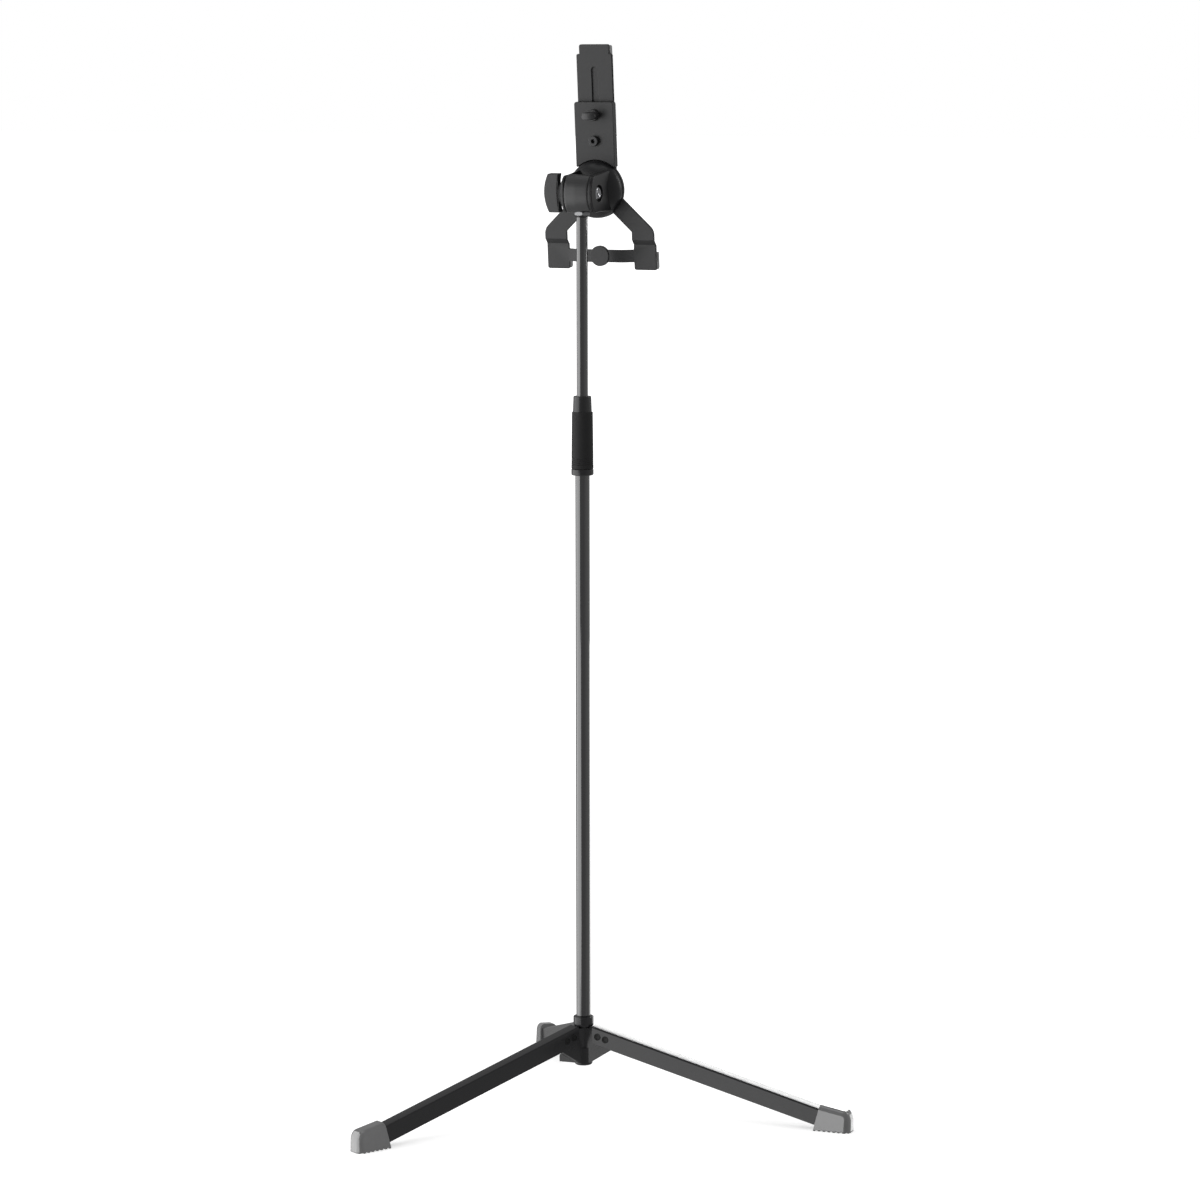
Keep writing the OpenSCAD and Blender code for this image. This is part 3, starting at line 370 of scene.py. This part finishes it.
def foot_cap(turn):
    """The foot's plan, with round corners at the nose, carried up from the sole to the sloping roof. The
    sole's row is lifted in the notches; at the roof the rows are pulled in along the plan's normals on
    a quarter ellipse, which is larger at the nose; the sides lean in and the mouth leans back."""
    heel, toe, half, corner, nose_len = 296.4, 341.6, 12.0, 7.5, 10.0
    pitch, notch_h, notch_half, notch_floor, plain_nose, sole_h = 6.1, 1.3, 1.1, 0.7, 1.5, 2.2
    roof_z, roof_r, roof_fall, roof_lean = 31.2, 304.2, 0.1755, 0.0439
    round_drop, nose_drop, round_reach, nose_reach, round_gap = 6.0, 6.0, 6.0, 1.5, 0.4
    edge, mouth_lean, side_lean = 0.3, 0.25, 0.0046
    side, bend = np.linspace(heel, toe - corner, 160)[:-1], np.linspace(0, np.pi / 2, 16)
    plan = np.concatenate([
        np.stack([side, np.full_like(side, -half)], -1),
        np.stack([toe - corner + corner * np.sin(bend), corner * (1 - np.cos(bend)) - half], -1)])
    inward = np.concatenate([np.tile([0.0, 1.0], (len(side), 1)),
                             np.stack([-np.sin(bend), np.cos(bend)], -1)])
    plan = np.concatenate([plan, plan[::-1] * [1, -1]])
    inward = np.concatenate([inward, inward[::-1] * [1, -1]])
    nose = np.clip((plan[:, 0] - toe + nose_len) / nose_len, 0, 1)
    drop, reach = round_drop + nose_drop * nose, round_reach + nose_reach * nose
    tooth = np.abs((plan[:, 0] - heel - 0.75 * pitch + pitch / 2) % pitch - pitch / 2)
    notch = notch_h * trough(tooth, notch_half, notch_floor) * (plan[:, 0] < toe - plain_nose)
    a = np.linspace(0, np.pi / 2, 10)[:, None]
    flat = np.zeros_like(nose)
    pull = np.concatenate([[flat + edge, flat, flat, flat], reach * (1 - np.cos(a)), [reach + edge]])
    r, y = np.moveaxis(plan + pull[..., None] * inward, -1, 0)
    behind = (toe - r) / (toe - heel)
    roof = (roof_z - roof_fall * (r - roof_r)) / (1 + roof_lean * behind)
    h = np.concatenate([[notch, notch + edge, flat + sole_h], roof[3:4] - drop - round_gap,
                        roof[4:-1] - drop * (1 - np.sin(a)), roof[-1:]])
    return about_pole(turn, r + mouth_lean * h * behind, y * (1 - side_lean * h), h)


foot_rubber = finish("foot_rubber", (0.105, 0.105, 0.106), (0.135, 0.135, 0.137), rough=0.45, grain=1500.0,
                     lift=6e-6, coat=1.0, shine=0.4)
for side, turn in leg_turns.items():
    cap = solid(f"rubber_foot_{side}", (foot_cap(turn), False), sharp=50.0)
    fit(cap, foot_rubber, f"{side}_leg", "foot_rubber", f"foot_{side}")


# Pole: a drawn steel tube, painted gloss black, with a slimmer tube that slides in it. The mouths of
# both are deburred.
def tube_wall(inner, outer, foot, top, edge=0.25):
    """The closed section of a tube with its four edges eased, carried round the pole's axis."""
    return turned(eased([(inner, foot), (outer, foot), (outer, top), (inner, top)], edge, steps=4), turns=128)


tube_paint = finish("tube_paint", (0.009, 0.009, 0.010), (0.012, 0.012, 0.013), rough=0.20, grain=700.0,
                    lift=1e-6, coat=1.0, shine=0.3, cloud_size=60.0)
tube_bore, tube_r, tube_foot, tube_top = 7.4, 8.6, 103.647, 845.647
rod_bore, rod_r, rod_foot, rod_top = 5.55, 6.75, 435.847, 1075.847
outer_tube = tube_wall(tube_bore, tube_r, tube_foot, tube_top)
fit(solid("outer_tube", (outer_tube, True)), tube_paint, "base", "tube_paint", "lower_tube")
sliding_tube = tube_wall(rod_bore, rod_r, rod_foot, rod_top)
fit(solid("sliding_tube", (sliding_tube, True)), tube_paint, "mast", "tube_paint", "rod")


# Twist clutch: a moulded ring on the outer tube, a cone-ended nut that closes on a split collet when
# it is twisted, and a ribbed rubber grip pulled over the nut.
clutch_plastic = finish("clutch_plastic", (0.008, 0.008, 0.009), (0.012, 0.012, 0.013), rough=0.30,
                        grain=1600.0, lift=6e-6)
grip_rubber = finish("grip_rubber", (0.010, 0.010, 0.0105), (0.0155, 0.0155, 0.016), rough=0.72,
                     grain=1400.0, lift=5e-5, shine=0.3)
ring_bore, ring_r, ring_z, ring_top = 8.65, 13.25, 769.947, 777.347
stop_ring = eased([(ring_bore, ring_z), (ring_r, ring_z), (ring_r, ring_top), (ring_bore, ring_top)],
                  [0.3, 1.6, 0.8, 0.3])
fit(solid("clutch_stop_ring", (turned(stop_ring), True)), clutch_plastic, "base", "clutch_plastic",
    "clutch_ring")
grip_z, clutch_top, cone_lip, tube_gap = 777.647, 864.347, 1.8, 1.0
nut_bore, nut_foot_r, shoulder_r, mouth_r, rod_hole, collet_r = 9.55, 11.25, 11.3, 10.6, 7.05, 8.45
cone = eased([(nut_bore, grip_z), (nut_foot_r, grip_z), (shoulder_r, tube_top), (mouth_r, clutch_top),
              (rod_hole, clutch_top), (rod_hole, clutch_top - cone_lip), (collet_r, clutch_top - cone_lip),
              (nut_bore, tube_top + tube_gap)], [0.2, 0.2, 0.2, 1.1, 0.4, 0.2, 0.2, 0.2])
fit(solid("clutch_cone", (turned(cone), True)), clutch_plastic, "clutch", "clutch_plastic", "clutch_nut")
# The grip's radius falls evenly along it, less quarter-round rims at both ends and four grooves, one at
# each whole pitch above the grooves' foot.
grip_len, grip_bore, grip_r, grip_taper, rim_edge = 68.0, 11.35, 13.15, 0.7, 0.9
grooves, groove_foot, groove_pitch, groove_depth, groove_half, groove_floor = 4, 3.0, 2.4, 0.4, 0.3, 0.4
rise = np.linspace(0, grip_len, 400)
from_end = np.minimum(rise, grip_len - rise)
rounded_rim = rim_edge * (1 - np.sqrt(1 - (1 - np.minimum(from_end / rim_edge, 1)) ** 2))
groove_count = np.clip((rise - groove_foot) / groove_pitch, 0.5, grooves + 0.5)
groove_away = np.abs((groove_count - np.round(groove_count)) * groove_pitch)
groove = groove_depth * trough(groove_away, groove_half, groove_floor)
sleeve_r = grip_r - grip_taper * rise / grip_len - rounded_rim - groove
grip = np.concatenate([np.stack([sleeve_r, grip_z + rise], -1), [(grip_bore, tube_top), (grip_bore, grip_z)]])
fit(solid("clutch_sleeve", (turned(grip), True)), grip_rubber, "clutch", "grip_rubber", "clutch_grip")
nylon = finish("nylon", (0.60, 0.60, 0.57), (0.68, 0.68, 0.65), rough=0.45, grain=900.0, lift=1e-5)
dress(nylon, "clutch_core", "clutch_collet", "rod_bush", "tilt_discs", "swivel_disc")


# Rod cap: a small moulded flange that closes the sliding tube's top end round the stud. It widens
# upwards to the seat of the lock nut.
stud_r, flange_r, flange_h, flange_rise = 5.0, 8.95, 2.1, 1.5
flange = eased([(stud_r, rod_top), (rod_r, rod_top), (flange_r, rod_top + flange_rise),
                (flange_r, rod_top + flange_h), (stud_r, rod_top + flange_h)], [0.1, 0.3, 0.25, 0.25, 0.1])
fit(solid("rod_flange", (turned(flange), True)), clutch_plastic, "mast", "clutch_plastic", "rod_cap")


# Lock nut and stud: zinc-plated steel. The stud is pressed into the sliding tube, and the nut on it
# locks the head's barrel at the angle that it is turned to.
def smoothed(outline, width):
    """A closed outline without its hard corners: each value is the mean of those up to width steps away."""
    return np.mean([np.roll(outline, k) for k in range(-width, width + 1)], 0)


zinc_plate = finish("zinc_plate", (0.17, 0.172, 0.176), (0.24, 0.242, 0.246), rough=0.30, grain=3000.0,
                    lift=3e-6, metal=1.0, cloud_size=260.0)
dress(zinc_plate, "centre_bolt", "tube_plug", "rod_stud", "tilt_washer", "holder_axle", "wing_stud")
# The nut's radius is the lesser of the hexagon's and that of two cones, which cut its corners off.
nut_z, nut_h, half_flat = rod_top + flange_h, 4.4, 9.0
chamfer, chamfer_slope, face_in = 1.0, 1.39, 0.3
around = np.linspace(0, 2 * np.pi, 240, endpoint=False)
hexagon = smoothed(half_flat / np.cos(around % (np.pi / 3) - np.pi / 6), 2)
cone_up = np.linspace(0, chamfer, 12)
nut_up = np.concatenate([[0, 0], cone_up, nut_h - cone_up[::-1], [nut_h, nut_h]])[:, None]
cone_r = half_flat + chamfer_slope * np.minimum(nut_up, nut_h - nut_up)
cone_r[[1, -2]], cone_r[[0, -1]] = half_flat - face_in, stud_r
nut_r = np.minimum(hexagon, cone_r)
nut = np.stack(np.broadcast_arrays(nut_r * np.cos(around), nut_r * np.sin(around), nut_z + nut_up), -1)
fit(solid("hex_lock_nut", (nut, True)), zinc_plate, "mast", "zinc_steel", "lock_nut")


# Barrel: the moulded joint on the stud that the head tilts about. It is round towards the dome and
# bulged to the rear, with a step at both ends and the mould's parting line round its middle.
barrel_plastic = finish("barrel_plastic", (0.010, 0.010, 0.011), (0.015, 0.015, 0.016), rough=0.40,
                        grain=2200.0, lift=1e-5, shine=0.62)
# Its outline is a circle, and at the rear a flatter arc between a level top and bottom, with corners that a
# larger circle rounds off. The underside is cut level, and each station along the axis has its inset.
tilt_z, barrel_r, barrel_low, taper, taper_len = 1104.097, 22.0, 21.7, 0.9, 17.0
bulge_r, bulge_shift, bulge_most = 31.0, 9.0, 25.08
lie = np.linspace(0, 2 * np.pi, 180, endpoint=False)
steep = np.maximum(np.abs(np.sin(lie)), 1e-6)
bulge = np.sqrt(bulge_r ** 2 - (bulge_shift * np.sin(lie)) ** 2) - bulge_shift * np.cos(lie)
bulge = np.minimum(bulge, np.minimum(bulge_most, barrel_r / steep))
reach = np.where(np.cos(lie) > 0, np.maximum(barrel_r, bulge), barrel_r)
reach = smoothed(np.where(np.sin(lie) < 0, np.minimum(reach, barrel_low / steep), reach), 2)
station = np.array([-17.2, -16.5, -16.4, -16.1, -15.6, -15.0, -14.2, -7.5, -1.0, -0.3, 0,
                    0.3, 1.0, 6.0, 11.0, 11.8, 12.4, 12.9, 13.2, 13.3, 14.0])
inset = np.array([0.95, 0.95, 0.6, 0.3, 0.12, 0.06, 0.03, 0.01, 0, 0, 0.03,
                  0, 0, 0, 0, 0.01, 0.07, 0.25, 0.55, 0.9, 0.9])
girth = reach - (inset + taper * np.maximum(0, -station) / taper_len)[:, None]
barrel_y, barrel_z = girth * np.cos(lie), tilt_z + girth * np.sin(lie)
barrel = np.stack(np.broadcast_arrays(station[:, None], barrel_y, barrel_z), -1)
fit(solid("tilt_barrel", (barrel, False)), barrel_plastic, "swivel", "head_plastic", "pivot_barrel")


# Fork: a glossy moulding, with two cheeks that close on the barrel and a dome that carries the
# holder. A long bolt through the cheeks clamps them.
def on_head(x, w, v, tilt=np.radians(4.7)):
    """The head's own frame in the stand's, turned by the tilt: x along the tilt axis, w square forwards
    from it and v up along the holder."""
    y, z = v * np.sin(tilt) - w * np.cos(tilt), w * np.sin(tilt) + v * np.cos(tilt)
    return np.stack(np.broadcast_arrays(x, y, tilt_z + z), -1)


fork_gloss = finish("fork_gloss", (0.007, 0.007, 0.008), (0.010, 0.010, 0.011), rough=0.34, grain=800.0,
                    lift=2e-6, shine=0.36)
# The cheeks have the barrel's bulge at the rear and widen evenly towards the dome in front.
cheek_front, cheek_flare, flare_least = 34.2, 0.0643, 0.2
shut = np.maximum(np.abs(np.cos(lie)), 1e-6)
flare = np.minimum(cheek_front / shut, barrel_r / np.maximum(steep - cheek_flare * shut, flare_least))
cheek = smoothed(np.where(np.cos(lie) > 0, bulge, flare), 3)


def cheek_rows(stations, insets, share):
    """Rows along the tilt axis: at share 1 the cheek's outline less an inset, at share 0 a circle whose
    radius is the inset."""
    stations, insets, share = np.array(stations)[:, None], np.array(insets)[:, None], np.array(share)[:, None]
    reach = share * cheek + np.where(share, -1, 1) * insets
    return on_head(stations, -reach * np.cos(lie), reach * np.sin(lie))


# The bolt's cheek: inner face, side with a groove, round edge, outer face and the recess of the bolt's head.
bolt_cheek = cheek_rows(
    [-17.65, -17.65, -17.9, -18.3, -19.8, -20.2, -20.35, -21.15, -21.3, -21.6, -22.0, -22.3, -22.52, -22.63,
     -22.65, -22.65, -22.65, -22.5, -22.2, -21.8, -19.65, -19.65],
    [axis_r, 0.3, 0.0, 0.0, 0.0, 0.0, 0.5, 0.5, 0.05, 0.08, 0.25, 0.52, 0.9, 1.4,
     2.0, 11.2, 10.4, 10.1, 10.0, 10.0, 10.0, axis_r],
    [0] + 14 * [1] + 7 * [0])
# The knob's cheek: inner face, side, round edge, and a boss that narrows in a curve to the knob's seat.
knob_cheek = cheek_rows(
    [14.45, 14.45, 14.7, 15.1, 15.9, 16.5, 17.0, 17.4, 17.7, 17.85,
     17.95, 18.6, 20.0, 21.5, 23.0, 24.2, 24.9, 25.3, 25.45, 25.45],
    [axis_r, 0.3, 0.0, 0.0, 0.0, 0.06, 0.2, 0.4, 0.65, 0.9,
     21.2, 20.6, 19.2, 17.6, 15.9, 14.3, 13.2, 12.4, 11.6, axis_r],
    [0] + 9 * [1] + 10 * [0])
# The dome is a quarter ellipse turned about the holder's axis and hollowed between the cheeks to a cylinder
# that clears the barrel. In front it ends in the flat face that the holder turns on.
dome_r, dome_w, dome_depth, saddle_r, bolt_side, knob_side = 34.0, 38.7, 19.2, 25.38, -17.65, 14.45
swing = np.linspace(0.0, np.pi / 2, 48)[:, None]
crown_r, crown_w = dome_r * np.sin(swing), dome_w - dome_depth * np.cos(swing)
crown_x, crown_v = crown_r * np.cos(lie), crown_r * np.sin(lie)
saddle = np.where((crown_x > bolt_side) & (crown_x < knob_side),
                  np.sqrt(np.maximum(saddle_r ** 2 - crown_v ** 2, 0)), 0)
crown = on_head(crown_x, np.maximum(crown_w, saddle), crown_v)
front_r = dome_r - np.array([0, 0, 0.2, 0.6, dome_r - axis_r])[:, None]
front_w = np.array([39.6, 40.6, 41.0, 41.2, 41.2])[:, None]
front = on_head(front_r * np.cos(lie), front_w, front_r * np.sin(lie))
fit(solid("domed_fork", (np.concatenate([crown, front]), False), (bolt_cheek, False), (knob_cheek, False),
          sharp=45.0), fork_gloss, "head", "head_plastic", "fork")


# Tilt bolt: a chrome-plated bolt through both cheeks, set in a recess. Its low head has a rounded rim
# and a dished middle.
bolt_chrome = finish("bolt_chrome", (0.24, 0.24, 0.25), (0.30, 0.30, 0.31), rough=0.08, grain=900.0,
                     lift=2e-6, metal=1.0)
# The hollow and the rim are parabolas: their depths go with the square of the way out.
hollow_r, rim_foot_r, bolt_head_r, bolt_r = 4.8, 5.3, 8.5, 3.0
hollow_x, face_x, recess_x, bolt_end, rim_fall, end_edge = -20.75, -22.25, -19.65, 43.7, 2.4, 0.2
hollow_rows, rim_rows = np.linspace(axis_r, hollow_r, 16), np.linspace(rim_foot_r, bolt_head_r, 16)
rim_share = (rim_rows - rim_foot_r) / (bolt_head_r - rim_foot_r)
hollow = np.stack([hollow_rows, hollow_x + (face_x - hollow_x) * (hollow_rows / hollow_r) ** 2], -1)
head_rim = np.stack([rim_rows, face_x + rim_fall * rim_share ** 2], -1)
bolt = np.concatenate([hollow, head_rim, [
    (bolt_head_r, recess_x), (bolt_r, recess_x), (bolt_r, bolt_end - end_edge), (bolt_r - end_edge, bolt_end),
    (axis_r, bolt_end)]])
a, b, h = np.moveaxis(turned(bolt, turns=72), -1, 0)
fit(solid("dished_bolt", (on_head(h, a, b), False)), bolt_chrome, "head", "bolt_chrome", "tilt_bolt")


# Paddle knob: a moulded handle on a brass insert, turned by hand to clamp the tilt. Its outer edge is
# arched, its inner edge waisted, and all its edges are well rounded.
def plate(outline, low, high, edge, steps=8, margin=0.3):
    """A flat piece with round edges: rows of an outline, drawn anticlockwise, pulled in along its
    normals by a quarter circle at either face, and once more by a margin to keep the faces flat. Gives
    the outline's two coordinates and the depth."""
    on = np.roll(outline, -1, 0) - np.roll(outline, 1, 0)
    inward = np.stack([-on[:, 1], on[:, 0]], -1) / np.linalg.norm(on, axis=1, keepdims=True)
    a = np.linspace(0, np.pi / 2, steps)
    pull, sink = edge * (1 - np.sin(a)), edge * (1 - np.cos(a))
    pull = np.concatenate([[edge + margin], pull, pull[::-1], [edge + margin]])
    depth = np.concatenate([[low], low + sink, high - sink[::-1], [high]])
    rows = outline + pull[:, None, None] * inward
    return rows[..., 0], rows[..., 1], np.broadcast_to(depth[:, None], rows.shape[:2])


knob_plastic = finish("knob_plastic", (0.013, 0.013, 0.014), (0.019, 0.019, 0.020), rough=0.42,
                      grain=2000.0, lift=1e-5)
# The outer edge is a circle's arc, and the inner edge a parabola that stands further out at the neck.
half_paddle, half_thick, arch_r, arch_shift, waist_x, waist_bow = 23.0, 5.0, 48.5, 0.8, 27.7, 2.3
neck_r, neck_foot, neck_end = 4.8, 26.75, 33.0
rise = np.linspace(-half_paddle, half_paddle, 40)
fall = rise[::-1]
arch = np.stack([np.sqrt(arch_r ** 2 - rise ** 2) - arch_shift, rise], -1)
waist = np.stack([waist_x + waist_bow * (1 - (fall / half_paddle) ** 2), fall], -1)
x, v, w = plate(eased(np.concatenate([arch, waist]), cut=1.2), -half_thick, half_thick, edge=1.0)
paddle = on_head(x, w, v)
neck = eased([(axis_r, neck_foot), (neck_r, neck_foot), (neck_r, neck_end), (axis_r, neck_end)],
             [axis_cut, 0.5, 0.5, axis_cut])
a, b, h = np.moveaxis(turned(neck, turns=64), -1, 0)
fit(solid("paddle_knob", (paddle, False), (on_head(h, a, b), False)), knob_plastic, "knob", "knob_plastic",
    "tilt_knob")
insert_brass = finish("insert_brass", (0.55, 0.40, 0.17), (0.66, 0.50, 0.24), rough=0.3, grain=2500.0,
                      lift=1e-5, metal=1.0)
dress(insert_brass, "knob_insert")


# Holder: a moulded plate that turns on the dome, with two arms that step forwards and end in claws, and
# a crossbar with a bare round boss between them.
holder_plastic = finish("holder_plastic", (0.010, 0.010, 0.011), (0.014, 0.014, 0.015), rough=0.42,
                        grain=2400.0, lift=1e-5, shine=0.44)
arms = softened("holder_arms", "holder_plate", edge=0.5)
fit(arms, holder_plastic, "holder", "holder_plastic", "holder_plate")


# Guide sleeve: moulded, screwed over the plate's tongue, with rails in front that the top hook's
# slide runs in. A black socket screw holds it.
sleeve = softened("guide_sleeve", "holder_sleeve", edge=0.6, steps=3)
fit(sleeve, holder_plastic, "holder", "holder_plastic", "holder_sleeve")
screw_black = finish("screw_black", (0.020, 0.020, 0.021), (0.032, 0.032, 0.033), rough=0.32, grain=3000.0,
                     lift=1e-5, metal=0.5)
# The rows go from the screw's tip up the shank, over the head's quarter-round edge and into the socket. Where
# the radius is given as 0, the row is the socket's hexagon.
sleeve_w, screw_v, shank_len, shank_r, socket_floor, half_socket = 40.0, 57.5, 8.2, 3.0, 0.4, 2.5
head_h, head_r, head_edge, face_margin = 5.0, 6.1, 0.7, 1.0
head_w, tip_w, floor_w = sleeve_w - head_h, sleeve_w + shank_len, sleeve_w - socket_floor
sweep = np.linspace(0, np.pi / 2, 6)
screw_w = np.concatenate([[tip_w, tip_w, sleeve_w, sleeve_w], head_w + head_edge * (1 - np.sin(sweep)),
                          [head_w, head_w, floor_w, floor_w]])[:, None]
screw_r = np.concatenate([[axis_r, shank_r, shank_r, head_r], head_r - head_edge * (1 - np.cos(sweep)),
                          [head_r - face_margin, 0, 0, axis_r]])[:, None]
screw_r = np.where(screw_r > 0, screw_r, hexagon * half_socket / half_flat)
screw = on_head(screw_r * np.cos(around), screw_w, screw_v + screw_r * np.sin(around))
fit(solid("socket_screw", (screw, False)), screw_black, "holder", "screw_black", "cap_screw")


# Top hook: a moulded slide that runs in the sleeve's rails, with a shallow groove down its back for
# the clamp screw and a claw at its upper end.
fit(softened("hook_slide", "slide", edge=0.45), holder_plastic, "top_hook", "holder_plastic", "slide")


# Boots: pale soft rubber, moulded hollow and pulled over the three claws, so that these grip well and
# leave no marks.
boot_rubber = finish("boot_rubber", (0.30, 0.30, 0.30), (0.40, 0.40, 0.40), rough=0.62, grain=1600.0,
                     lift=4e-5, shine=0.35)
fit(softened("foot_boots", "hook_liners", edge=0.3), boot_rubber, "holder", "liner_rubber", "hook_liners")
fit(softened("hook_boot", "slide_liner", edge=0.3), boot_rubber, "top_hook", "liner_rubber", "slide_liner")


# Clamp screw: an oval moulded head on a steel stud, turned by hand to press on the slide and hold the
# top hook at its height.
seat_w, clamp_v, wing_out, wing_h, wing_edge, bow_r = 39.95, 88.0, 18.0, 15.0, 1.3, 18.0
end_r, half_span, end_sharp = 4.35, 4.65, 6.0
# The oval is a circle whose halves are drawn apart by a steep step. The head's outer face is bowed like a
# circle's arc, and the bow fades out towards its foot.
lap = np.linspace(0, 2 * np.pi, 72, endpoint=False)
oval = np.stack([end_r * np.cos(lap) + half_span * np.tanh(end_sharp * np.cos(lap)), end_r * np.sin(lap)], -1)
x, v, depth = plate(oval, 0.0, wing_h, wing_edge)
spread = np.array([0.02, 0.3, 0.6, 0.85])[:, None]
x, v = np.concatenate([spread * x[0], x]), np.concatenate([spread * v[0], v])
depth = np.concatenate([np.zeros((len(spread), len(lap))), depth])
bowed = (bow_r - np.sqrt(bow_r ** 2 - x ** 2)) * (1 - depth / wing_h)
wing_head = on_head(x, seat_w - wing_out + depth + bowed, clamp_v + v)
disc_r, disc_h = 7.0, 4.0
disc_w = seat_w - disc_h
foot_disc = eased([(axis_r, disc_w), (disc_r, disc_w), (disc_r, seat_w), (axis_r, seat_w)],
                  [axis_cut, 1.0, 0.4, axis_cut])
a, b, h = np.moveaxis(turned(foot_disc, turns=64), -1, 0)
fit(solid("oval_clamp_head", (wing_head, False), (on_head(a, h, clamp_v + b), False)), knob_plastic,
    "clamp_screw", "knob_plastic", "wing_knob")
